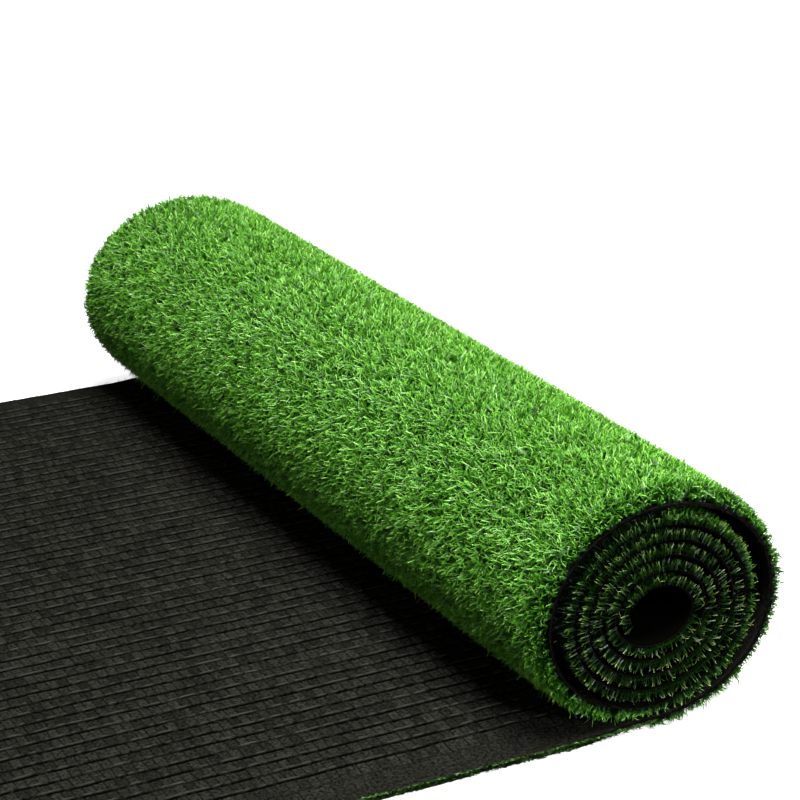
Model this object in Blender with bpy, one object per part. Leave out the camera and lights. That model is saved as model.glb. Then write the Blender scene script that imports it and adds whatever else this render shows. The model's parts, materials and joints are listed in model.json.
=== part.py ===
"""Practice putting mat: a strip of artificial turf, rolled up, with its free end lying flat on the floor.

The mat lies with its pile down, so the flat length shows its dark backing.  From there the sheet turns up
on the +X side, over the top and down again, and so on inwards, with its pile outwards all the way.

The sheet is three layers: a latex coat on its bare side, a woven primary backing, and the pile.  Across its
length it is cut into rigid strips, hinged on the bare face wherever the sheet can bend:

    tail   the flat length on the floor
    end    the strips at its free end, which curl up
    wrap   the strips up the front of the coil's outer turn, which open one by one as the coil rolls along
    roll   the rest of the coil, from the top of the outer turn inwards, which stays rolled

Each strip is built in its own frame: the hinge at the origin, the bare face in the plane z = 0 and the
layers below it.  A chain of empties at the hinges holds the strips as they lie when the mat is rolled up.

Metres, +Z up, +Y along the coil's axis, the free end towards -X.  The origin is under the middle of the mat.
"""

import math

import bpy

# The sheet
MAT_LENGTH = 1.5
MAT_WIDTH = 0.5
COAT = 0.0008
PRIMARY = 0.0004
PILE = 0.0049
LAYER_GAP = 0.0002  # between one layer's solid and the next
TURN_GAP = 0.0003  # between the pile of one turn and the coat of the next
END_GAP = 0.00015  # from a hinge to the end of a strip

# The coil
MEAN_RADIUS = 0.0434  # to the bare face, at the end of the outer turn
FLATTENING = 0.0021  # how far the coil is wider, and lower, than round
SIDE_SLACK = 0.0055  # how far the outer turn stands off the next one at its sides
TOP_SLACK = 0.00265  # and at its top
INNER_TURNS = 4.85
STEPS_PER_TURN = 36
BENDS_PER_TURN = 16
WRAP_STRIPS = 7

# The free end
END_STRIPS = 2
END_STRIP_LENGTH = 0.05

# Each layer lies between two depths below the bare face.
COAT_DEPTHS = (0.0, COAT)
PRIMARY_DEPTHS = (COAT + LAYER_GAP, COAT + LAYER_GAP + PRIMARY)
PILE_TOP = PRIMARY_DEPTHS[1] + LAYER_GAP
PILE_DEPTHS = (PILE_TOP, PILE_TOP + PILE)
THICKNESS = PILE_DEPTHS[1]
PITCH = THICKNESS + TURN_GAP
BEND = 2 * math.pi / BENDS_PER_TURN
TAIL_HEADING = -2 * math.pi
ROLL_HEADING = TAIL_HEADING + (WRAP_STRIPS + 1) * BEND


def clear_scene():
    for obj in list(bpy.data.objects):
        bpy.data.objects.remove(obj, do_unlink=True)


def make_material(name, colour, roughness):
    material = bpy.data.materials.new(name)
    material.use_nodes = True
    shader = material.node_tree.nodes["Principled BSDF"]
    shader.inputs["Base Color"].default_value = (*colour, 1.0)
    shader.inputs["Roughness"].default_value = roughness
    shader.inputs["Metallic"].default_value = 0.0
    return material


def latex_material():
    return make_material("latex_coat", (0.022, 0.022, 0.02), 0.75)


def scrim_material():
    return make_material("woven_scrim", (0.035, 0.034, 0.03), 0.85)


def turf_material():
    return make_material("turf_pile", (0.085, 0.27, 0.04), 0.55)


# ---- The coil's curve, seen along +Y.  heading is the sheet's direction, rising with the curl: -2 pi where
# ---- the tail ends, and 0 a turn later, where the slack outer turn closes on the next one.


def direction(heading):
    return math.cos(heading), math.sin(heading)


def outward(heading):
    return math.sin(heading), -math.cos(heading)


def slack(heading):
    """How far the outer turn stands off the next one, and its rate of change."""
    if heading >= 0:
        return 0.0, 0.0
    side = SIDE_SLACK - TOP_SLACK / 2
    gap = TOP_SLACK * (1 - math.cos(heading)) / 2 + side * math.sin(heading) ** 2
    rate = TOP_SLACK * math.sin(heading) / 2 + side * math.sin(2 * heading)
    return gap, rate


def reach(heading):
    """Distance from the coil's centre to the bare face's tangent line, and its rate of change."""
    gap, gap_rate = slack(heading)
    distance = MEAN_RADIUS - PITCH * heading / (2 * math.pi) - FLATTENING * math.cos(2 * heading) + gap
    rate = -PITCH / (2 * math.pi) + 2 * FLATTENING * math.sin(2 * heading) + gap_rate
    return distance, rate


def on_tangent(heading, along):
    """The point of a tangent line at a distance along it from the foot of the centre's perpendicular."""
    distance = reach(heading)[0]
    out_x, out_z = outward(heading)
    dir_x, dir_z = direction(heading)
    return distance * out_x + along * dir_x, distance * out_z + along * dir_z


def coil_point(heading):
    return on_tangent(heading, reach(heading)[1])


def corner(heading):
    """How far along a tangent line it meets the next one, a bend further on."""
    return (reach(heading + BEND)[0] - reach(heading)[0] * math.cos(BEND)) / math.sin(BEND)


def corner_before(heading):
    return (reach(heading)[0] * math.cos(BEND) - reach(heading - BEND)[0]) / math.sin(BEND)


def wrap_lengths():
    headings = [TAIL_HEADING + bend * BEND for bend in range(1, WRAP_STRIPS + 1)]
    return [corner(heading) - corner_before(heading) for heading in headings]


def roll_stations():
    """The roll's bare face from its hinge inwards, in the hinge's frame, as points and outward directions."""
    hinge_x, hinge_z = on_tangent(ROLL_HEADING, corner_before(ROLL_HEADING))
    along_x, along_z = direction(ROLL_HEADING)
    out_x, out_z = outward(ROLL_HEADING)
    turns = INNER_TURNS - ROLL_HEADING / (2 * math.pi)
    stations = [((END_GAP, 0.0), outward(0.0))]
    for step in range(round(turns * STEPS_PER_TURN) + 1):
        curl = 2 * math.pi * step / STEPS_PER_TURN
        x, z = coil_point(ROLL_HEADING + curl)
        x -= hinge_x
        z -= hinge_z
        point = (x * along_x + z * along_z, -x * out_x - z * out_z)
        stations.append((point, outward(curl)))
    return stations


def path_length(stations):
    points = [point for point, _ in stations]
    return sum(math.dist(a, b) for a, b in zip(points, points[1:]))


def flat_stations(start, end):
    """A straight stretch of the bare face between two places along X."""
    return [((start, 0.0), (0.0, -1.0)), ((end, 0.0), (0.0, -1.0))]


# ---- Solids


def layer_solid(name, stations, depths, material, frame):
    """One layer of a strip: a solid of the mat's width between two depths below the bare face."""
    vertices = []
    for (x, z), (out_x, out_z) in stations:
        for depth in depths:
            for y in (-MAT_WIDTH / 2, MAT_WIDTH / 2):
                vertices.append((x + depth * out_x, y, z + depth * out_z))
    faces = [(0, 1, 3, 2)]
    for station in range(len(stations) - 1):
        first = 4 * station
        for a, b in ((0, 1), (1, 3), (3, 2), (2, 0)):
            faces.append((first + a, first + 4 + a, first + 4 + b, first + b))
    last = 4 * (len(stations) - 1)
    faces.append((last, last + 2, last + 3, last + 1))

    mesh = bpy.data.meshes.new(name)
    mesh.from_pydata(vertices, [], faces)
    mesh.materials.append(material)
    mesh.shade_smooth()
    mesh.set_sharp_from_angle(angle=math.radians(30))
    obj = bpy.data.objects.new(name, mesh)
    obj.parent = frame
    bpy.context.collection.objects.link(obj)


def make_strip(name, stations, frame, materials):
    layers = (
        ("latex_coat", COAT_DEPTHS),
        ("primary_backing", PRIMARY_DEPTHS),
        ("pile", PILE_DEPTHS),
    )
    for (layer, depths), material in zip(layers, materials):
        layer_solid(f"{name}_{layer}", stations, depths, material, frame)


def make_frame(name, parent, location, turn=0.0):
    """An empty at a hinge; turn is how far the sheet beyond it is curled up from the sheet before it."""
    frame = bpy.data.objects.new(name, None)
    frame.empty_display_size = 0.02
    frame.parent = parent
    frame.location = location
    frame.rotation_euler = (0.0, -turn, 0.0)
    bpy.context.collection.objects.link(frame)
    return frame


def main():
    clear_scene()
    materials = (latex_material(), scrim_material(), turf_material())

    lengths = wrap_lengths()
    roll = roll_stations()
    tail_corner = corner(TAIL_HEADING)
    coiled_length = tail_corner + sum(lengths) + END_GAP + path_length(roll)
    flat_length = MAT_LENGTH - coiled_length
    coil_half_width = reach(-1.5 * math.pi)[0] + THICKNESS
    coil_x = (flat_length - coil_half_width) / 2

    tail_length = flat_length + tail_corner - END_STRIPS * END_STRIP_LENGTH
    tail = make_frame("tail_frame", None, (coil_x + tail_corner, 0.0, THICKNESS))
    make_strip("tail", flat_stations(END_GAP - tail_length, -END_GAP), tail, materials)

    frame = tail
    place = -tail_length
    for number in range(1, END_STRIPS + 1):
        frame = make_frame(f"end_{number}_hinge", frame, (place, 0.0, 0.0))
        free_gap = END_GAP if number < END_STRIPS else 0.0
        make_strip(f"end_{number}", flat_stations(free_gap - END_STRIP_LENGTH, -END_GAP), frame, materials)
        place = -END_STRIP_LENGTH

    frame = tail
    place = 0.0
    for number, length in enumerate(lengths, start=1):
        frame = make_frame(f"wrap_{number:02d}_hinge", frame, (place, 0.0, 0.0), BEND)
        make_strip(f"wrap_{number:02d}", flat_stations(END_GAP, length - END_GAP), frame, materials)
        place = length
    frame = make_frame("roll_hinge", frame, (place, 0.0, 0.0), BEND)
    make_strip("roll", roll, frame, materials)


main()
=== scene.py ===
"""The looks of a practice putting mat: a strip of turf, rolled up, with its free end lying flat.

The mat lies with its pile down, so the flat length shows its ribbed latex back.  The sheet turns up
under the coil's front, over the top, down the back and on inwards, with its pile outwards all the way.

Everything is made along one line: the bare face of the sheet, seen along +Y.  A place on the mat is
`along` (metres along that line: 0 where the flat length ends and the coil begins, negative on the flat
length), `y` (across the mat) and `depth` (metres from the bare face towards the pile).

The mat is made in sections, one after another along that line.  Most cross a hinge of the CAD model.
Each section has its latex coat, the woven scrim below it, and its turf, in one piece or a few.
"""

import json
import math

import bpy
import numpy as np
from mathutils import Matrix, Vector


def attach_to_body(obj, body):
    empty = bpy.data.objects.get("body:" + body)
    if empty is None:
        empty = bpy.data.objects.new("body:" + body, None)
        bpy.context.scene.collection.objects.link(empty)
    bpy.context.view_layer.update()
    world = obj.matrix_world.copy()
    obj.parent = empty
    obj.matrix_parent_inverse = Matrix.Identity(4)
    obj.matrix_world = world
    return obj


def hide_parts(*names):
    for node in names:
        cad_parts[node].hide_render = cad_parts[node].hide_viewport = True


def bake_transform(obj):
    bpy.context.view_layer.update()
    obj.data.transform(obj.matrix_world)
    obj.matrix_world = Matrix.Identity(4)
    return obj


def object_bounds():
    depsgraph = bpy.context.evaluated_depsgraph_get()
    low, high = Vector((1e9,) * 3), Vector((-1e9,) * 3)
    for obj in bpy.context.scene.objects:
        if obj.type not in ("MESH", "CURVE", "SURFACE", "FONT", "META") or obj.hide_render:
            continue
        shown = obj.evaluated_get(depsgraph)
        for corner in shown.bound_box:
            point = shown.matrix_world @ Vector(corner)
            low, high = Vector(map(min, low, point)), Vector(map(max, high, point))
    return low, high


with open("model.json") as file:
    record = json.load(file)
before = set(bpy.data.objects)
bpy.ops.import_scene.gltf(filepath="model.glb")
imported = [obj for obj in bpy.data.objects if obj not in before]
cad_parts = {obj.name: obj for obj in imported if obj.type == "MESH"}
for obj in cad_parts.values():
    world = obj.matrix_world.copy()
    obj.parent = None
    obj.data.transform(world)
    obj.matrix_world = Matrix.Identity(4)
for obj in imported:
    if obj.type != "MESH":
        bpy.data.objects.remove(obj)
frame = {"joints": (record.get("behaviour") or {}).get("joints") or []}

CAD_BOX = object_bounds()
SEED = 7

# The sheet: its width, and depths below the bare face
MAT_WIDTH = 0.5
COAT_DEPTH = 0.0008
SCRIM_DEPTH = 0.0013
THICKNESS = 0.0065
PITCH = 0.0068  # from one turn of the coil to the next

# The coil's curve, as in the CAD model
MEAN_RADIUS = 0.0434
FLATTENING = 0.0021
SIDE_SLACK = 0.0055
TOP_SLACK = 0.00265
INNER_TURNS = 4.85
TAIL_HEADING = -2 * math.pi
BEND = math.radians(22.5)
WRAP_BENDS = 8

# The flat length's near and far margins sag to the floor, where the pile is trodden flat
SAG = 0.0030
SAG_WIDTH = 0.020
SAG_START = 0.045  # how far from the coil the sag is complete
FLOOR_GAP = 0.0002  # nothing loose lies lower than this

# The free end's sections bend this far to each side of their hinges
END_BEND_REACH = 0.014

# The back: rows of stitches run along the mat
ROW_SPACING = 0.0087
ROW_MARGIN = 0.021  # from the near and far edges to the first row
GROOVE_DEPTH = 0.0007
BEAD_HEIGHT = 0.0003
SHEET_STEP = 0.0015  # between the coat's and the scrim's rows of vertices
FRAY_SPACING = 0.0003

# The turf: tufts follow the stitch rows, with more between them
TUFT_SPACING = 0.0030
TUFT_ROWS = 3  # rows of tufts for each stitch row
OUTER_PER_TUFT = 13  # blades in a tuft of the outer turn
BLADE_SEGMENTS = 3
BLADE_TAPER = np.array([0.8, 1.0, 0.85, 0.25])  # widths at the ends of the segments, as shares
BLADE_FLOOR_GAP = 0.0005
EDGE_ZONE = 0.006  # the blades grow shorter this near to the cut edges
END_BAND = 0.016  # how deep into the coil the inner turns' blades can be seen
INNER_SET_BACK = 0.0018  # how far the inner turns' sheet stands back from the blades' ends

# The crushed yarn squeezed out along the flat length's margins
CRUSHED_BAND = 0.003
CRUSHED_RISE = 2.4  # how steeply it turns up past the edge
CRUSHED_TOP_NEAR = 0.0018  # its highest place above the sagging edge
CRUSHED_TOP_FAR = 0.0004
CRUSHED_OVERHANG_FAR = 0.0004

# The short yarn between the blades
THATCH_STEP = 0.003
THATCH_INSET = 0.0008
THATCH_BASE = 0.0004
THATCH_BUMPS = 0.0012


# ---- The line of the bare face


def slack(heading):
    """How far the outer turn stands off the next one, and its rate of change."""
    side = SIDE_SLACK - TOP_SLACK / 2
    gap = TOP_SLACK * (1 - np.cos(heading)) / 2 + side * np.sin(heading) ** 2
    rate = TOP_SLACK * np.sin(heading) / 2 + side * np.sin(2 * heading)
    outer_turn = heading < 0
    return gap * outer_turn, rate * outer_turn


def coil_line(heading):
    """Points of the bare face, from the coil's centre, where the sheet runs in each heading."""
    gap, gap_rate = slack(heading)
    pitch_rate = PITCH / (2 * math.pi)
    reach = MEAN_RADIUS - pitch_rate * heading - FLATTENING * np.cos(2 * heading) + gap
    rate = -pitch_rate + 2 * FLATTENING * np.sin(2 * heading) + gap_rate
    x = reach * np.sin(heading) + rate * np.cos(heading)
    z = -reach * np.cos(heading) + rate * np.sin(heading)
    return x, z


def hinge_x(joint_name):
    joint = next(joint for joint in frame["joints"] if joint["name"] == joint_name)
    return joint["pos_m"][0]


def tangent_corner():
    """How far past the coil's centre the flat length meets the first strip, at the first hinge."""
    reaches = []
    for heading in (TAIL_HEADING, TAIL_HEADING + BEND):
        x, z = coil_line(np.array([heading]))
        reaches.append(float(x[0]) * math.sin(heading) - float(z[0]) * math.cos(heading))
    return (reaches[1] - reaches[0] * math.cos(BEND)) / math.sin(BEND)


COIL_X = hinge_x("unroll_01") - tangent_corner()
COIL_Z = THICKNESS - float(coil_line(np.array([TAIL_HEADING]))[1][0])
HEADINGS = np.linspace(TAIL_HEADING, 2 * math.pi * INNER_TURNS, 4000)
COIL_XS = COIL_X + coil_line(HEADINGS)[0]
COIL_ZS = COIL_Z + coil_line(HEADINGS)[1]
STEPS = np.hypot(np.diff(COIL_XS), np.diff(COIL_ZS))
ALONGS = np.concatenate([[0.0], np.cumsum(STEPS)])
COIL_START_X = COIL_XS[0]
COIL_END = ALONGS[-1]


def along_at_heading(heading):
    return float(np.interp(heading, HEADINGS, ALONGS))


def along_at_x(x):
    """A place on the flat length."""
    return x - COIL_START_X


def smooth_step(share):
    share = np.clip(share, 0.0, 1.0)
    return share * share * (3 - 2 * share)


def sag(along, y):
    """How far the flat length's margins hang below its middle."""
    margin = smooth_step((np.abs(y) - MAT_WIDTH / 2 + SAG_WIDTH) / SAG_WIDTH)
    return SAG * margin * smooth_step(-along / SAG_START)


def place(along, y, depth):
    """Points in the row frame from places on the mat."""
    heading = np.where(along < 0, TAIL_HEADING, np.interp(along, ALONGS, HEADINGS))
    x = np.where(along < 0, COIL_START_X + along, np.interp(along, ALONGS, COIL_XS))
    z = np.where(along < 0, THICKNESS - sag(along, y), np.interp(along, ALONGS, COIL_ZS))
    return np.stack([x + depth * np.sin(heading), y + 0 * x, z - depth * np.cos(heading)], axis=-1)


def above_floor(points):
    """The same points, with the ones that would lie below the floor moved up onto it."""
    points[..., 2] = np.maximum(points[..., 2], FLOOR_GAP)
    return points


# ---- The sections


def section(name, start, end, bodies, blend, stands_for):
    """A section of the mat.  bodies are the one that it rides on, or the two whose hinge it crosses, with
    blend the places where it leaves the first and joins the second; a section with a blend is left where
    it is made and rides on neither.  It replaces the CAD nodes of the bodies in stands_for."""
    return {
        "name": name,
        "start": start,
        "end": end,
        "bodies": bodies,
        "blend": blend,
        "stands_for": stands_for,
    }


def make_sections():
    free_end = along_at_x(CAD_BOX[0][0])
    first = along_at_x(hinge_x("curl_end_1"))
    second = along_at_x(hinge_x("curl_end_2"))
    between = (first + second) / 2
    flat_start = first + END_BEND_REACH
    tip_blend = (second + END_BEND_REACH, second - END_BEND_REACH)
    root_blend = (flat_start, first - END_BEND_REACH)
    sections = [
        section("end_tip", free_end, between, ("end_1", "end_2"), tip_blend, ("end_2",)),
        section("end_root", between, flat_start, ("tail", "end_1"), root_blend, ("end_1",)),
        section("flat", flat_start, 0.0, ("tail",), None, ("tail",)),
    ]
    bodies = ["tail"] + [f"wrap_{number:02d}" for number in range(1, WRAP_BENDS)] + ["roll"]
    for bend in range(WRAP_BENDS):
        start = along_at_heading(TAIL_HEADING + bend * BEND)
        end = along_at_heading(TAIL_HEADING + (bend + 1) * BEND)
        pair = (bodies[bend], bodies[bend + 1])
        stands_for = (pair[1],) if pair[1] != "roll" else ()
        sections.append(section(f"bend_{bend + 1:02d}", start, end, pair, (start, end), stands_for))
    roll_start = along_at_heading(TAIL_HEADING + WRAP_BENDS * BEND)
    sections.append(section("roll", roll_start, COIL_END, ("roll",), None, ("roll",)))
    return sections


def attach(obj, part, layer):
    """Joins a finished piece to its one body, or leaves a piece that crosses a hinge fixed where it is.
    """
    if part["blend"]:
        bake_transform(obj)
    else:
        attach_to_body(obj, part["bodies"][0])
    nodes = [f"{body}_{layer}" for body in part["stands_for"]]
    if nodes:
        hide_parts(*nodes)


# ---- Mesh making


def mesh_object(name, vertices, quads, material, smooth=True):
    """A linked mesh object from arrays of vertices and of quads."""
    mesh = bpy.data.meshes.new(name)
    mesh.vertices.add(len(vertices))
    mesh.vertices.foreach_set("co", np.ascontiguousarray(vertices, np.float32).ravel())
    mesh.loops.add(quads.size)
    mesh.loops.foreach_set("vertex_index", np.ascontiguousarray(quads, np.int32).ravel())
    mesh.polygons.add(len(quads))
    mesh.polygons.foreach_set("loop_start", np.arange(0, quads.size, 4, dtype=np.int32))
    mesh.update(calc_edges=True)
    if smooth:
        mesh.shade_smooth()
        mesh.set_sharp_from_angle(angle=math.radians(50))
    mesh.materials.append(material)
    obj = bpy.data.objects.new(name, mesh)
    bpy.context.collection.objects.link(obj)
    return obj


def add_uv(obj, layer_names, values):
    """The same UV coordinates under each name; values has one row for each vertex."""
    mesh = obj.data
    corners = np.empty(len(mesh.loops), np.int32)
    mesh.loops.foreach_get("vertex_index", corners)
    for name in layer_names:
        layer = mesh.uv_layers.new(name=name)
        layer.data.foreach_set("uv", values[corners].astype(np.float32).ravel())


def sheet_quads(rows, columns):
    """Quads of a closed sheet: a top grid, a bottom grid after it, and the rim between them."""
    index = np.arange(rows * columns).reshape(rows, columns)
    below = index + rows * columns
    top = np.stack([index[:-1, :-1], index[1:, :-1], index[1:, 1:], index[:-1, 1:]], axis=-1)
    bottom = np.stack([below[:-1, :-1], below[:-1, 1:], below[1:, 1:], below[1:, :-1]], axis=-1)
    rim = np.concatenate([index[:, 0], index[-1, 1:], index[-2::-1, -1], index[0, -2::-1]])
    low = rim + rows * columns
    side = np.stack([rim[:-1], low[:-1], low[1:], rim[1:]], axis=-1)
    return np.concatenate([top.reshape(-1, 4), bottom.reshape(-1, 4), side])


def noise(seed, spacing, positions, rows=0):
    """Values from 0 to 1 that change smoothly along the mat, a new one every spacing, and differ from row
    to row.  The same seed gives the same values in every section, so patterns run on across the joins."""
    knots = np.random.default_rng((SEED, seed)).random((64, 512))
    steps = (positions + 0.5) / spacing
    whole = np.floor(steps).astype(int)
    part = steps - whole
    ease = part * part * (3 - 2 * part)
    return knots[rows, whole] * (1 - ease) + knots[rows, whole + 1] * ease


def patch_noise(seed, spacing, along, y):
    """Values from 0 to 1 that change smoothly over the mat."""
    knots = np.random.default_rng((SEED, seed)).random((512, 256))
    steps_along = (along + 0.5) / spacing
    steps_y = (y + 0.5) / spacing
    i = np.floor(steps_along).astype(int)
    j = np.floor(steps_y).astype(int)
    u = steps_along - i
    v = steps_y - j
    u = u * u * (3 - 2 * u)
    v = v * v * (3 - 2 * v)
    near = knots[i, j] * (1 - u) + knots[i + 1, j] * u
    far = knots[i, j + 1] * (1 - u) + knots[i + 1, j + 1] * u
    return near * (1 - v) + far * v


# ---- Materials


BLEND = {"data_type": "RGBA"}
MULTIPLY = {"data_type": "RGBA", "blend_type": "MULTIPLY"}


def new_material(name):
    material = bpy.data.materials.new(name)
    material.use_nodes = True
    tree = material.node_tree
    return material, tree, tree.nodes["Principled BSDF"]


def add_node(tree, kind, settings=None, inputs=None):
    node = tree.nodes.new(kind)
    for name, value in (settings or {}).items():
        setattr(node, name, value)
    for name, value in (inputs or {}).items():
        node.inputs[name].default_value = value
    return node


def set_stops(ramp, stops):
    while len(ramp.elements) < len(stops):
        ramp.elements.new(0.5)
    for element, (position, colour) in zip(ramp.elements, stops):
        element.position = position
        element.color = (*colour, 1.0)


def blade_material():
    """Turf yarn.  In its map u picks the yarn's colour, from straw over dark green to pale green, and v
    is the height on the blade: the colour has painted shade towards the root and a painted highlight at
    the tip."""
    material, tree, shader = new_material("turf_blades")
    uv = add_node(tree, "ShaderNodeUVMap", {"uv_map": "blade"})
    split = add_node(tree, "ShaderNodeSeparateXYZ")
    tone = add_node(tree, "ShaderNodeValToRGB")
    set_stops(
        tone.color_ramp,
        [
            (0.0, (0.480, 0.520, 0.220)),
            (0.25, (0.045, 0.160, 0.014)),
            (0.45, (0.056, 0.230, 0.010)),
            (0.75, (0.145, 0.420, 0.028)),
            (1.0, (0.420, 0.680, 0.200)),
        ],
    )
    # Painted shade and highlight: the colour falls to near black towards the root, and above 1 at the tip
    # it is a painted highlight.
    painted_shade_and_highlight = add_node(tree, "ShaderNodeValToRGB")
    set_stops(
        painted_shade_and_highlight.color_ramp,
        [
            (0.0, (0.01, 0.03, 0.01)),
            (0.6, (0.06, 0.17, 0.03)),
            (0.84, (0.70, 0.88, 0.55)),
            (1.0, (1.40, 1.30, 1.40)),
        ],
    )
    mix = add_node(tree, "ShaderNodeMix", MULTIPLY, {"Factor": 1.0})
    tree.links.new(uv.outputs["UV"], split.inputs["Vector"])
    tree.links.new(split.outputs["X"], tone.inputs["Fac"])
    tree.links.new(split.outputs["Y"], painted_shade_and_highlight.inputs["Fac"])
    tree.links.new(tone.outputs["Color"], mix.inputs["A"])
    tree.links.new(painted_shade_and_highlight.outputs["Color"], mix.inputs["B"])
    tree.links.new(mix.outputs["Result"], shader.inputs["Base Color"])
    shader.inputs["Roughness"].default_value = 0.42
    shader.inputs["Specular IOR Level"].default_value = 0.35
    return material


def thatch_painted_shade_material():
    """The short tangled yarn between the blades, painted near black as the blades' shade."""
    material, tree, shader = new_material("turf_thatch")
    # Painted shade: near black, for the shade in the gaps between the blades.
    shader.inputs["Base Color"].default_value = (0.004, 0.018, 0.001, 1.0)
    shader.inputs["Roughness"].default_value = 1.0
    shader.inputs["Specular IOR Level"].default_value = 0.0
    return material


def coat_material():
    """Black latex over the stitches.  Between the rows it is ridged into small blocks with dark joints,
    and the margins are plain.  The stitches' tops get a painted highlight, and the grooves and the rolled
    turns are painted near black as shade."""
    material, tree, shader = new_material("latex_coat")
    position = add_node(tree, "ShaderNodeUVMap", {"uv_map": "mat_metres"})
    shift = add_node(tree, "ShaderNodeVectorMath", {"operation": "SUBTRACT"})
    shift.inputs[1].default_value = (0.5, stitch_rows()[0] % ROW_SPACING, 0.0)
    waver = add_node(tree, "ShaderNodeTexNoise", {}, {"Scale": 160.0, "Detail": 2.0})
    bend = add_node(tree, "ShaderNodeVectorMath", {"operation": "SCALE"}, {"Scale": 0.0014})
    bent = add_node(tree, "ShaderNodeVectorMath", {"operation": "ADD"})
    centimetres = add_node(tree, "ShaderNodeVectorMath", {"operation": "SCALE"}, {"Scale": 100.0})
    blocks = add_node(
        tree,
        "ShaderNodeTexBrick",
        {"offset": 0.5},
        {
            "Color1": (0.0175, 0.0175, 0.0140, 1.0),
            "Color2": (0.0090, 0.0090, 0.0072, 1.0),
            "Mortar": (0.0036, 0.0036, 0.0029, 1.0),
            "Scale": 1.0,
            "Mortar Size": 0.055,
            "Mortar Smooth": 1.0,
            "Brick Width": 0.46,
            "Row Height": 100 * ROW_SPACING,
        },
    )
    blotches = add_node(
        tree,
        "ShaderNodeTexNoise",
        {},
        {"Scale": 700.0, "Detail": 5.0, "Roughness": 0.75},
    )
    grain = add_node(tree, "ShaderNodeValToRGB")
    set_stops(grain.color_ramp, [(0.38, (0.15, 0.15, 0.15)), (0.68, (2.0, 2.0, 2.0))])
    grained = add_node(tree, "ShaderNodeMix", MULTIPLY, {"Factor": 1.0})
    ribbed = add_node(tree, "ShaderNodeAttribute", {"attribute_name": "ribbed"})
    surface = add_node(tree, "ShaderNodeMix", BLEND, {"A": (0.0105, 0.0105, 0.0084, 1.0)})
    stitch = add_node(tree, "ShaderNodeAttribute", {"attribute_name": "stitch"})
    opened = add_node(tree, "ShaderNodeAttribute", {"attribute_name": "opened"})
    # Painted shade: where the opened share is 0, as on the rolled turns, the coat is near black.
    rolled_painted_shade = add_node(tree, "ShaderNodeMix", BLEND, {"A": (0.0015, 0.0015, 0.0012, 1.0)})
    # Painted highlight: the stitches' tops are mixed towards this paler grey.
    top = add_node(tree, "ShaderNodeMix", BLEND, {"B": (0.050, 0.050, 0.041, 1.0)})
    groove = add_node(tree, "ShaderNodeAttribute", {"attribute_name": "groove"})
    # Painted shade: the grooves are mixed towards near black.
    painted_groove_shade = add_node(tree, "ShaderNodeMix", BLEND, {"B": (0.0004, 0.0004, 0.0003, 1.0)})
    bump = add_node(tree, "ShaderNodeBump", {}, {"Strength": 0.6, "Distance": 0.0006})
    links = [
        (position.outputs["UV"], shift.inputs[0]),
        (position.outputs["UV"], waver.inputs["Vector"]),
        (position.outputs["UV"], blotches.inputs["Vector"]),
        (waver.outputs["Color"], bend.inputs[0]),
        (shift.outputs["Vector"], bent.inputs[0]),
        (bend.outputs["Vector"], bent.inputs[1]),
        (bent.outputs["Vector"], centimetres.inputs[0]),
        (centimetres.outputs["Vector"], blocks.inputs["Vector"]),
        (blotches.outputs["Fac"], grain.inputs["Fac"]),
        (blocks.outputs["Color"], surface.inputs["B"]),
        (ribbed.outputs["Fac"], surface.inputs["Factor"]),
        (surface.outputs["Result"], grained.inputs["A"]),
        (grain.outputs["Color"], grained.inputs["B"]),
        (grained.outputs["Result"], rolled_painted_shade.inputs["B"]),
        (opened.outputs["Fac"], rolled_painted_shade.inputs["Factor"]),
        (rolled_painted_shade.outputs["Result"], top.inputs["A"]),
        (stitch.outputs["Fac"], top.inputs["Factor"]),
        (top.outputs["Result"], painted_groove_shade.inputs["A"]),
        (groove.outputs["Fac"], painted_groove_shade.inputs["Factor"]),
        (painted_groove_shade.outputs["Result"], shader.inputs["Base Color"]),
        (blotches.outputs["Fac"], bump.inputs["Height"]),
        (bump.outputs["Normal"], shader.inputs["Normal"]),
    ]
    for source, target in links:
        tree.links.new(source, target)
    shader.inputs["Roughness"].default_value = 1.0
    shader.inputs["Specular IOR Level"].default_value = 0.0
    return material


def scrim_material():
    """Black woven polypropylene, seen at the cut edges."""
    material, tree, shader = new_material("woven_scrim")
    coordinates = add_node(tree, "ShaderNodeTexCoord")
    fibres = add_node(tree, "ShaderNodeTexNoise", {}, {"Scale": 1400.0, "Detail": 2.0})
    bump = add_node(tree, "ShaderNodeBump", {}, {"Strength": 0.5, "Distance": 0.0003})
    tree.links.new(coordinates.outputs["Object"], fibres.inputs["Vector"])
    tree.links.new(fibres.outputs["Fac"], bump.inputs["Height"])
    tree.links.new(bump.outputs["Normal"], shader.inputs["Normal"])
    shader.inputs["Base Color"].default_value = (0.0050, 0.0045, 0.0036, 1.0)
    shader.inputs["Roughness"].default_value = 0.8
    shader.inputs["Specular IOR Level"].default_value = 0.05
    return material


def studio_material(name, roughness, glow):
    """Pale paper that glows a little, so that it stays nearly white under soft light."""
    material, tree, shader = new_material(name)
    shader.inputs["Base Color"].default_value = (0.9, 0.9, 0.9, 1.0)
    shader.inputs["Roughness"].default_value = roughness
    shader.inputs["Emission Color"].default_value = (1.0, 1.0, 1.0, 1.0)
    shader.inputs["Emission Strength"].default_value = glow
    return material


# ---- The latex coat


def stitch_rows():
    """Where the rows of stitches lie across the mat."""
    count = int((MAT_WIDTH - 2 * ROW_MARGIN) / ROW_SPACING) + 1
    first = -(count - 1) * ROW_SPACING / 2
    return first + ROW_SPACING * np.arange(count)


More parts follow.
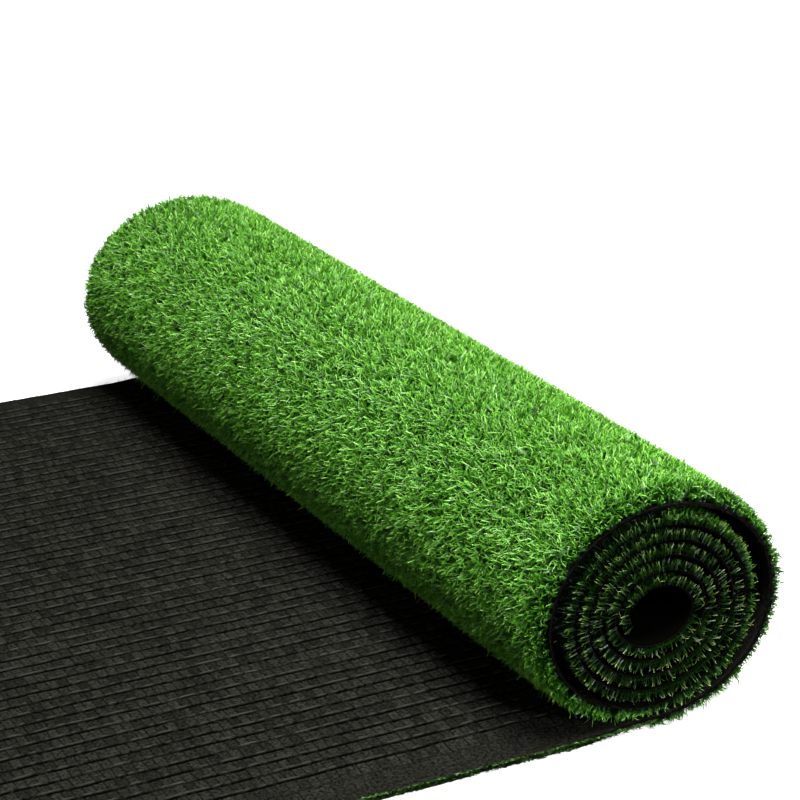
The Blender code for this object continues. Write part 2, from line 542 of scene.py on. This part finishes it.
def coat_columns():
    """Places across the mat for the coat's grid, and for each the depth of its groove and the height of
    its bead as shares, which also set the painted shade in the groove and the painted highlight on the
    bead.  The groove lies on the near side of each row, and the bead beyond it."""
    columns = [(-MAT_WIDTH / 2, 0.0, 0.0)]
    shape = (
        (-0.0021, 0.0, 0.0),
        (-0.0016, 1.0, 0.0),
        (0.0000, 1.0, 0.0),
        (0.0003, 0.0, 0.9),
        (0.0007, 0.0, 0.6),
        (0.0013, 0.0, 0.0),
    )
    for row in stitch_rows():
        for offset, groove, bead_and_painted_highlight in shape:
            columns.append((row + offset, groove, bead_and_painted_highlight))
    columns.append((MAT_WIDTH / 2, 0.0, 0.0))
    return np.array(columns)


def cut_edge(alongs):
    """How far the hand-cut near and far edges wander, along the mat."""
    near = 0.0006 * (noise(1, 0.004, alongs) - 0.5) + 0.0008 * (noise(2, 0.03, alongs) - 0.5)
    far = 0.0006 * (noise(3, 0.004, alongs) - 0.5) + 0.0008 * (noise(4, 0.03, alongs) - 0.5)
    return near, far


def ribbed_coat(name, start, end, material):
    """The coat where its bare face can be seen, with its stitch rows as grooves and beads.  The shares of
    both, which also set the painted shade in the grooves and the painted highlight on the beads, and
    where the coat is ribbed and where it is not rolled up (and so free of the painted shade of the rolled
    turns), go to the material as attributes."""
    columns = coat_columns()
    steps = max(2, round((end - start) / SHEET_STEP) + 1)
    alongs = np.linspace(start, end, steps)
    rows = len(stitch_rows())
    per_row = (len(columns) - 2) // rows
    row = np.clip((np.arange(len(columns)) - 1) // per_row, 0, rows - 1)

    along = np.repeat(alongs[:, None], len(columns), axis=1)
    dashes = np.clip((noise(5, 0.0024, along, row) - 0.2) / 0.2, 0.4, 1.0)
    fading = np.clip((noise(11, 0.03, along, row) - 0.05) / 0.25, 0.3, 1.0)
    # The groove share also sets the painted shade in the grooves.
    groove = columns[:, 1] * dashes * fading
    # The bead share also sets the painted highlight on the stitches' tops.
    bead_and_painted_highlight = columns[:, 2] * np.clip((noise(6, 0.0024, along, row) - 0.5) / 0.3, 0.0, 1.0)
    y = columns[:, 0] + 0.0008 * (noise(7, 0.012, along, row) - 0.5)
    near, far = cut_edge(alongs)
    y[:, 0] = near - MAT_WIDTH / 2
    y[:, -1] = far + MAT_WIDTH / 2
    depth = GROOVE_DEPTH * groove - BEAD_HEIGHT * bead_and_painted_highlight
    top = place(along, y, depth)
    bottom = place(along, y, np.full_like(depth, COAT_DEPTH))

    vertices = np.concatenate([top.reshape(-1, 3), bottom.reshape(-1, 3)])
    obj = mesh_object(name, vertices, sheet_quads(steps, len(columns)), material)
    flat = np.stack([along, y], axis=-1).reshape(-1, 2)
    add_uv(obj, ["mat_metres"], np.concatenate([flat, flat]))
    add_bake_map(obj, flat, start, end)
    ribbed = np.ones_like(bead_and_painted_highlight)
    ribbed[:, [0, -1]] = 0.0
    shares = {
        "stitch": bead_and_painted_highlight,
        "groove": groove,
        "ribbed": ribbed,
        "opened": np.ones_like(bead_and_painted_highlight),
    }
    for attribute_name, values in shares.items():
        attribute = obj.data.attributes.new(attribute_name, "FLOAT", "POINT")
        both_faces = np.concatenate([values.ravel(), np.zeros(values.size)])
        attribute.data.foreach_set("value", both_faces.astype(np.float32))
    return obj


def add_bake_map(obj, flat, start, end):
    """A second map, OFBake: the bare face in the lower half and the underside in the upper half."""
    u = (flat[:, 1] / MAT_WIDTH + 0.5) * 0.98 + 0.01
    v = (flat[:, 0] - start) / (end - start) * 0.46 + 0.01
    values = np.concatenate([np.stack([u, v], axis=-1), np.stack([u, v + 0.5], axis=-1)])
    add_uv(obj, ["OFBake"], values)


def plain_sheet(name, start, end, depths, material):
    """A closed sheet of the mat's width between two depths, whose edges stand back in the inner turns."""
    steps = max(2, round((end - start) / SHEET_STEP) + 1)
    alongs = np.linspace(start, end, steps)
    ys = np.linspace(-MAT_WIDTH / 2, MAT_WIDTH / 2, 9)
    along, y = np.meshgrid(alongs, ys, indexing="ij")
    near, far = cut_edge(alongs)
    set_back = INNER_SET_BACK * smooth_step((alongs - along_at_heading(0.0)) / 0.02)
    y[:, 0] += near + set_back
    y[:, -1] += far - set_back
    top = place(along, y, np.full_like(along, depths[0]))
    bottom = place(along, y, np.full_like(along, depths[1]))
    vertices = np.concatenate([top.reshape(-1, 3), bottom.reshape(-1, 3)])
    obj = mesh_object(name, vertices, sheet_quads(steps, len(ys)), material)
    flat = np.stack([along, y], axis=-1).reshape(-1, 2)
    add_uv(obj, ["mat_metres"], np.concatenate([flat, flat]))
    add_bake_map(obj, flat, start, end)
    return obj


def make_coat(part, material):
    name = f"{part['name']}_coat"
    if part["name"] == "roll":
        # The roll's coat has no opened share, so the material paints it near black as shade between the
        # turns.
        return plain_sheet(name, part["start"], part["end"], (0.0, COAT_DEPTH), material)
    return ribbed_coat(name, part["start"], part["end"], material)


# ---- The scrim


def ribbons(name, centres, sides, material, tones=None, lit=None):
    """Thin ribbons: centres and half-width vectors, both of shape (ribbons, points, 3).  For blades,
    tones are their colours and lit is how far up the scale of painted shade and highlight each one's tip
    goes."""
    count, points = centres.shape[:2]
    vertices = above_floor(np.stack([centres - sides, centres + sides], axis=2).reshape(-1, 3))
    first = np.arange(count)[:, None] * points * 2 + np.arange(points - 1)[None, :] * 2
    quads = np.stack([first, first + 1, first + 3, first + 2], axis=-1).reshape(-1, 4)
    obj = mesh_object(name, vertices, quads, material)
    if tones is not None:
        # v climbs the painted shade scale, from the dark root to the painted highlight at the tip.
        v = np.linspace(0.0, 1.0, points)[None, :, None] * lit[:, None, None] * np.ones(2)
        u = np.broadcast_to(tones[:, None, None], (count, points, 2)) + np.array([-0.003, 0.003])
        values = np.stack([np.clip(u, 0.001, 0.999), v], axis=-1).reshape(-1, 2)
        add_uv(obj, ["blade", "OFBake"], values)
    return obj


def frayed_edge(rng, start, end):
    """Threads that stick out of the scrim's cut edges, as centres and half-width vectors."""
    count = int((end - start) / FRAY_SPACING)
    all_centres = []
    for side in (-1.0, 1.0):
        along = rng.uniform(start, end, count)
        reach = rng.gamma(2.0, 0.0005, count)
        drift = rng.normal(0.0, 0.0012, count)
        droop = rng.normal(0.0, 0.0009, count)
        depth = rng.uniform(-0.0002, SCRIM_DEPTH + 0.0004, count)
        points = []
        for share in (0.0, 0.5, 1.0):
            points.append(
                place(
                    along + drift * share**1.5,
                    side * (MAT_WIDTH / 2 - 0.0004 + reach * share),
                    depth + droop * share**2,
                )
            )
        all_centres.append(np.stack(points, axis=1))
    centres = np.concatenate(all_centres)
    width = rng.uniform(0.00010, 0.00022, len(centres))[:, None, None]
    direction = rng.normal(size=(len(centres), 1, 3))
    direction /= np.linalg.norm(direction, axis=-1, keepdims=True)
    taper = np.array([1.0, 0.8, 0.4])[None, :, None]
    return centres, direction * width * taper


def join(name, pieces):
    """Joins pieces into the first one."""
    bpy.ops.object.select_all(action="DESELECT")
    for piece in pieces:
        piece.select_set(True)
    bpy.context.view_layer.objects.active = pieces[0]
    bpy.ops.object.join()
    pieces[0].name = name
    return pieces[0]


def make_scrim(part, material, rng):
    name = f"{part['name']}_scrim"
    depths = (COAT_DEPTH, SCRIM_DEPTH)
    sheet = plain_sheet(name, part["start"], part["end"], depths, material)
    open_end = min(part["end"], along_at_heading(0.0))
    centres, sides = frayed_edge(rng, part["start"], open_end)
    threads = ribbons(f"{name}_threads", centres, sides, material)
    return join(name, [sheet, threads])


# ---- The pile


def tuft_centres(rng, start, end, band=None):
    """Where the tufts stand: everywhere, or only in a band of the given width along both cut edges."""
    row_step = ROW_SPACING / TUFT_ROWS
    rows = np.arange(-MAT_WIDTH / 2 + 0.001, MAT_WIDTH / 2, row_step)
    if band is not None:
        rows = rows[np.abs(rows) > MAT_WIDTH / 2 - band]
    stitches = np.arange(start, end, TUFT_SPACING)
    along, y = np.meshgrid(stitches, rows, indexing="ij")
    along = along + rng.uniform(-0.5, 0.5, along.shape) * TUFT_SPACING
    y = y + rng.uniform(-0.5, 0.5, y.shape) * row_step
    keep = (along > start) & (along < end)
    return along[keep], np.clip(y[keep], -MAT_WIDTH / 2, MAT_WIDTH / 2)


def blade_curves(length, lean, curl, azimuth, swirl):
    """The points of each blade from its root: how far along the mat, across it and out of it."""
    step = length / BLADE_SEGMENTS
    out = np.zeros(len(length))
    side_along = np.zeros(len(length))
    side_y = np.zeros(len(length))
    outs, alongs, ys = [out], [side_along], [side_y]
    for segment in range(BLADE_SEGMENTS):
        share = (segment + 0.5) / BLADE_SEGMENTS
        tilt = lean + curl * share**1.5
        turn = azimuth + swirl * share
        out = out + step * np.cos(tilt)
        side_along = side_along + step * np.sin(tilt) * np.cos(turn)
        side_y = side_y + step * np.sin(tilt) * np.sin(turn)
        outs.append(out)
        alongs.append(side_along)
        ys.append(side_y)
    return np.stack(alongs, axis=1), np.stack(ys, axis=1), np.stack(outs, axis=1)


def grow(rng, along, y, style):
    """Blades from their roots: each leans and curls away from its tuft, and is shorter at the mat's cut
    edges.  Returns centres and half-width vectors of shape (blades, points, 3)."""
    count = len(along)
    from_edge = np.clip((MAT_WIDTH / 2 - np.abs(y)) / EDGE_ZONE, 0.0, 1.0)
    vigour = style["at_edge"] + (1 - style["at_edge"]) * from_edge
    stray = np.where(rng.random(count) < style["strays"], 1.3, 1.0)
    length = style["length"] * rng.uniform(0.8, 1.1, count) * vigour * stray
    azimuth = 4 * math.pi * patch_noise(8, 0.006, along, y) + rng.normal(0.0, 1.5, count)
    if style["trodden"]:
        azimuth = np.sign(y) * math.pi / 2 + rng.normal(0.0, 1.1, count)
    lean = np.abs(rng.normal(style["lean"], 0.18, count))
    curl = rng.normal(style["curl"], 0.6, count)
    swirl = rng.normal(0.0, 1.4, count)
    alongs, ys, outs = blade_curves(length, lean, curl, azimuth, swirl)
    tallest = style["height"] * vigour * stray * rng.uniform(0.85, 1.08, count)
    squeeze = np.minimum(1.0, tallest / np.maximum(outs.max(axis=1), 1e-6))
    outs = np.maximum(outs * squeeze[:, None], 0.0)

    overhang = style["overhang"]
    if style["trodden"]:
        overhang = np.where(y > 0, CRUSHED_OVERHANG_FAR, overhang)[:, None]
    over = np.maximum(np.abs(y[:, None] + ys) - MAT_WIDTH / 2 - overhang, 0.0)
    ys = ys - np.sign(y[:, None] + ys) * over
    place_along = along[:, None] + alongs
    place_y = y[:, None] + ys
    depths = SCRIM_DEPTH + outs
    centres = place(place_along, place_y, depths)

    turned = swirl[:, None] * np.linspace(0, 1, BLADE_SEGMENTS + 1)
    across = azimuth[:, None] + turned + math.pi / 2
    roll = rng.normal(0.0, 0.5, count)[:, None]
    width = style["width"] * rng.uniform(0.7, 1.2, count)[:, None] / 2
    half = width * BLADE_TAPER
    ahead = place(
        place_along + half * np.cos(across) * np.cos(roll),
        place_y + half * np.sin(across) * np.cos(roll),
        depths + half * np.sin(roll),
    )
    sides = ahead - centres
    centres[..., 2] = np.maximum(centres[..., 2], BLADE_FLOOR_GAP)
    if style["trodden"]:
        beyond = np.maximum(np.abs(place_y) - MAT_WIDTH / 2, 0.0)
        above_edge = np.where(y > 0, CRUSHED_TOP_FAR, CRUSHED_TOP_NEAR)[:, None]
        raised = centres[..., 2] + CRUSHED_RISE * beyond
        centres[..., 2] = np.minimum(raised, THICKNESS - SAG + above_edge)
    return centres, sides


def blade_style(length, height, lean, curl, width, **others):
    """How blades grow.  length, height and width are in metres, lean and curl in radians.  overhang is
    how far they reach past the mat's cut edge, at_edge their size there as a share, strays the share of
    long ones, and spread how far the roots stray from the tuft."""
    style = {
        "length": length,
        "height": height,
        "lean": lean,
        "curl": curl,
        "width": width,
        "overhang": 0.0008,
        "at_edge": 1.0,
        "strays": 0.0,
        "spread": 0.0006,
        "trodden": False,
    }
    style.update(others)
    return style


# Blades stand free on the outer turn, less so on the second, and are pressed between the inner turns.
# Under the flat length they lie flat, and along its margins they are squeezed out.
STYLES = {
    "outer": blade_style(0.0098, 0.0086, 0.12, 1.05, 0.00058, overhang=0.0006, at_edge=0.35, strays=0.02),
    "second": blade_style(0.0072, 0.0064, 0.25, 0.60, 0.00068, at_edge=0.50),
    "rope": blade_style(0.0052, 0.0049, 0.12, 0.40, 0.00045, overhang=0.0014, spread=0.003),
    "under": blade_style(0.0054, 0.0046, 0.70, 0.90, 0.00060, trodden=True),
    "trodden": blade_style(0.0058, 0.0036, 0.80, 1.60, 0.00046, overhang=0.0036, trodden=True),
}

# Parts of the blade material's colour scale, from straw at 0 to pale green at 1
GREEN = (0.3, 1.0)
SHADED = (0.0, 0.3)
CRUSHED = (0.0, 0.4)


def patch_blades(rng, start, end, style_name, per_tuft, tones, band=None):
    """The blades of one style between two places: their curves, colours and painted shade."""
    style = STYLES[style_name]
    tuft_along, tuft_y = tuft_centres(rng, start, end, band)
    along = np.repeat(tuft_along, per_tuft)
    y = np.repeat(tuft_y, per_tuft)
    spread = style["spread"]
    along = np.clip(along + rng.normal(0.0, spread, len(along)), start, end)
    y = np.clip(y + rng.normal(0.0, spread, len(y)), -MAT_WIDTH / 2, MAT_WIDTH / 2)
    centres, sides = grow(rng, along, y, style)
    low, high = tones
    tone = rng.beta(2.2, 2.0, len(along)) * (high - low) + low
    lit = np.ones(len(along))
    if style_name == "rope":
        # Painted shade: the inner turns' blades darken the further they stand into the coil from its end.
        lit = np.clip(1.1 - (MAT_WIDTH / 2 - np.abs(y)) / 0.005, 0.1, 1.0)
    if style_name == "trodden":
        lit = rng.uniform(0.7, 1.0, len(along))
    return centres, sides, tone, lit


def make_pile(name, patches, span, materials):
    """One piece of turf: patches of blades, with thatch over the whole span."""
    centres = np.concatenate([patch[0] for patch in patches])
    sides = np.concatenate([patch[1] for patch in patches])
    tones = np.concatenate([patch[2] for patch in patches])
    lit = np.concatenate([patch[3] for patch in patches])
    blades = ribbons(name, centres, sides, materials["blades"], tones, lit)
    # The thatch skin's material is near black: painted shade between the blades.
    thatch = make_thatch(f"{name}_thatch", *span, materials["thatch"])
    return join(name, [blades, thatch])


def make_thatch(name, start, end, material):
    """The tangle of short yarn between the blades, as one bumpy skin."""
    steps = max(2, round((end - start) / THATCH_STEP) + 1)
    edge = MAT_WIDTH / 2 - THATCH_INSET
    ys = np.linspace(-edge, edge, round(MAT_WIDTH / THATCH_STEP))
    along, y = np.meshgrid(np.linspace(start, end, steps), ys, indexing="ij")
    bumps = patch_noise(9, 0.005, along, y) + 0.6 * patch_noise(10, 0.0045, along, y)
    depth = SCRIM_DEPTH + THATCH_BASE + THATCH_BUMPS * bumps
    index = np.arange(steps * len(ys)).reshape(steps, len(ys))
    quads = np.stack([index[:-1, :-1], index[:-1, 1:], index[1:, 1:], index[1:, :-1]], axis=-1)
    vertices = above_floor(place(along, y, depth).reshape(-1, 3))
    return mesh_object(name, vertices, quads.reshape(-1, 4), material)


def equal_spans(start, end, count):
    cuts = np.linspace(start, end, count + 1)
    return list(zip(cuts[:-1], cuts[1:]))


def make_piles(part, materials, rng):
    """The section's pile, as one piece or a few."""
    name = f"{part['name']}_pile"
    start, end = part["start"], part["end"]
    if part["name"] == "roll":
        return make_roll_piles(name, start, end, materials, rng)
    if part["name"].startswith("bend"):
        patch = patch_blades(rng, start, end, "outer", OUTER_PER_TUFT, GREEN)
        return [make_pile(name, [patch], (start, end), materials)]
    count, per_tuft = (2, 2) if part["name"] == "flat" else (1, 6)
    pieces = []
    for number, span in enumerate(equal_spans(start, end, count), 1):
        patches = [
            patch_blades(rng, *span, "under", per_tuft, GREEN),
            patch_blades(rng, *span, "trodden", 24, CRUSHED, band=CRUSHED_BAND),
        ]
        pieces.append(make_pile(f"{name}_{number}", patches, span, materials))
    return pieces


def make_roll_piles(name, start, end, materials, rng):
    """Free blades to the end of the outer turn, shorter ones where the next turn shows past it, and from
    there inwards only a band at both ends of the coil."""
    outer_end = along_at_heading(0.0)
    shown_end = along_at_heading(math.pi)
    pieces = []
    stretches = (
        ("outer", start, outer_end, 4, OUTER_PER_TUFT),
        ("second", outer_end, shown_end, 2, 6),
    )
    for style, low, high, count, per_tuft in stretches:
        for number, span in enumerate(equal_spans(low, high, count), 1):
            patch = patch_blades(rng, *span, style, per_tuft, GREEN)
            pieces.append(make_pile(f"{name}_{style}_{number}", [patch], span, materials))
    inner = patch_blades(rng, outer_end, end, "rope", 6, SHADED, band=END_BAND)
    pieces.append(make_pile(f"{name}_inner", [inner], (outer_end, end), materials))
    return pieces


# ---- The mat


def make_mat():
    rng = np.random.default_rng(SEED)
    coat = coat_material()
    scrim = scrim_material()
    pile_materials = {"blades": blade_material(), "thatch": thatch_painted_shade_material()}
    for part in make_sections():
        coat_piece = make_coat(part, coat)
        scrim_piece = make_scrim(part, scrim, rng)
        pile_pieces = make_piles(part, pile_materials, rng)
        attach(coat_piece, part, "latex_coat")
        attach(scrim_piece, part, "primary_backing")
        for piece in pile_pieces:
            attach(piece, part, "pile")


# ---- The studio


def make_floor():
    size = 6.0
    corners = np.array([(-size, -size, 0.0), (size, -size, 0.0), (size, size, 0.0), (-size, size, 0.0)])
    floor_material = studio_material("studio_floor", 0.9, 0.8)
    floor = mesh_object("floor", corners, np.array([[0, 1, 2, 3]]), floor_material, smooth=False)
    angles = np.linspace(0.0, 2 * math.pi, 49)
    ring = np.stack([size * np.cos(angles), size * np.sin(angles), 0 * angles], axis=-1)
    wall = np.concatenate([ring, ring + np.array([0.0, 0.0, size])])
    first = np.arange(len(ring) - 1)
    quads = np.stack([first, first + 1, first + 1 + len(ring), first + len(ring)], axis=-1)
    backdrop = mesh_object("backdrop", wall, quads, studio_material("studio_backdrop", 0.5, 0.82))
    for piece in (floor, backdrop):
        piece.visible_diffuse = False
        piece.visible_glossy = False
        piece.visible_shadow = False


def area_light(name, location, aim, size, power):
    light = bpy.data.lights.new(name, "AREA")
    light.shape = "RECTANGLE"
    light.size = size[0]
    light.size_y = size[1]
    light.energy = power
    obj = bpy.data.objects.new(name, light)
    obj.location = location
    direction = Vector(aim) - Vector(location)
    obj.rotation_euler = direction.to_track_quat("-Z", "Y").to_euler()
    bpy.context.collection.objects.link(obj)


def make_lights():
    area_light("overhead", (0.15, -0.4, 1.5), (0.1, -0.05, 0.0), (0.8, 0.8), 56.5)
    area_light("camera_side", (-1.2, -0.9, 0.9), (0.1, 0.0, 0.05), (0.6, 0.6), 3.5)
    area_light("near_end", (0.2, -1.5, 0.8), (0.15, -0.2, 0.05), (0.4, 0.3), 17.0)


def make_world():
    world = bpy.data.worlds.new("studio")
    world.use_nodes = True
    background = world.node_tree.nodes["Background"]
    background.inputs["Color"].default_value = (1.0, 1.0, 1.0, 1.0)
    background.inputs["Strength"].default_value = 0.06
    bpy.context.scene.world = world


def make_camera():
    camera = bpy.data.cameras.new("camera")
    camera.sensor_width = 36.0
    camera.lens = 118.14
    camera.clip_start = 0.05
    camera.clip_end = 50.0
    obj = bpy.data.objects.new("camera", camera)
    obj.location = (-0.4120, -1.0778, 0.5206)
    obj.rotation_euler = (math.radians(90 - 20.43), 0.0, math.radians(-28.06))
    bpy.context.collection.objects.link(obj)
    bpy.context.scene.camera = obj


def main():
    make_camera()
    make_mat()
    make_floor()
    make_lights()
    make_world()
    bpy.context.scene.view_settings.view_transform = "Standard"


main()
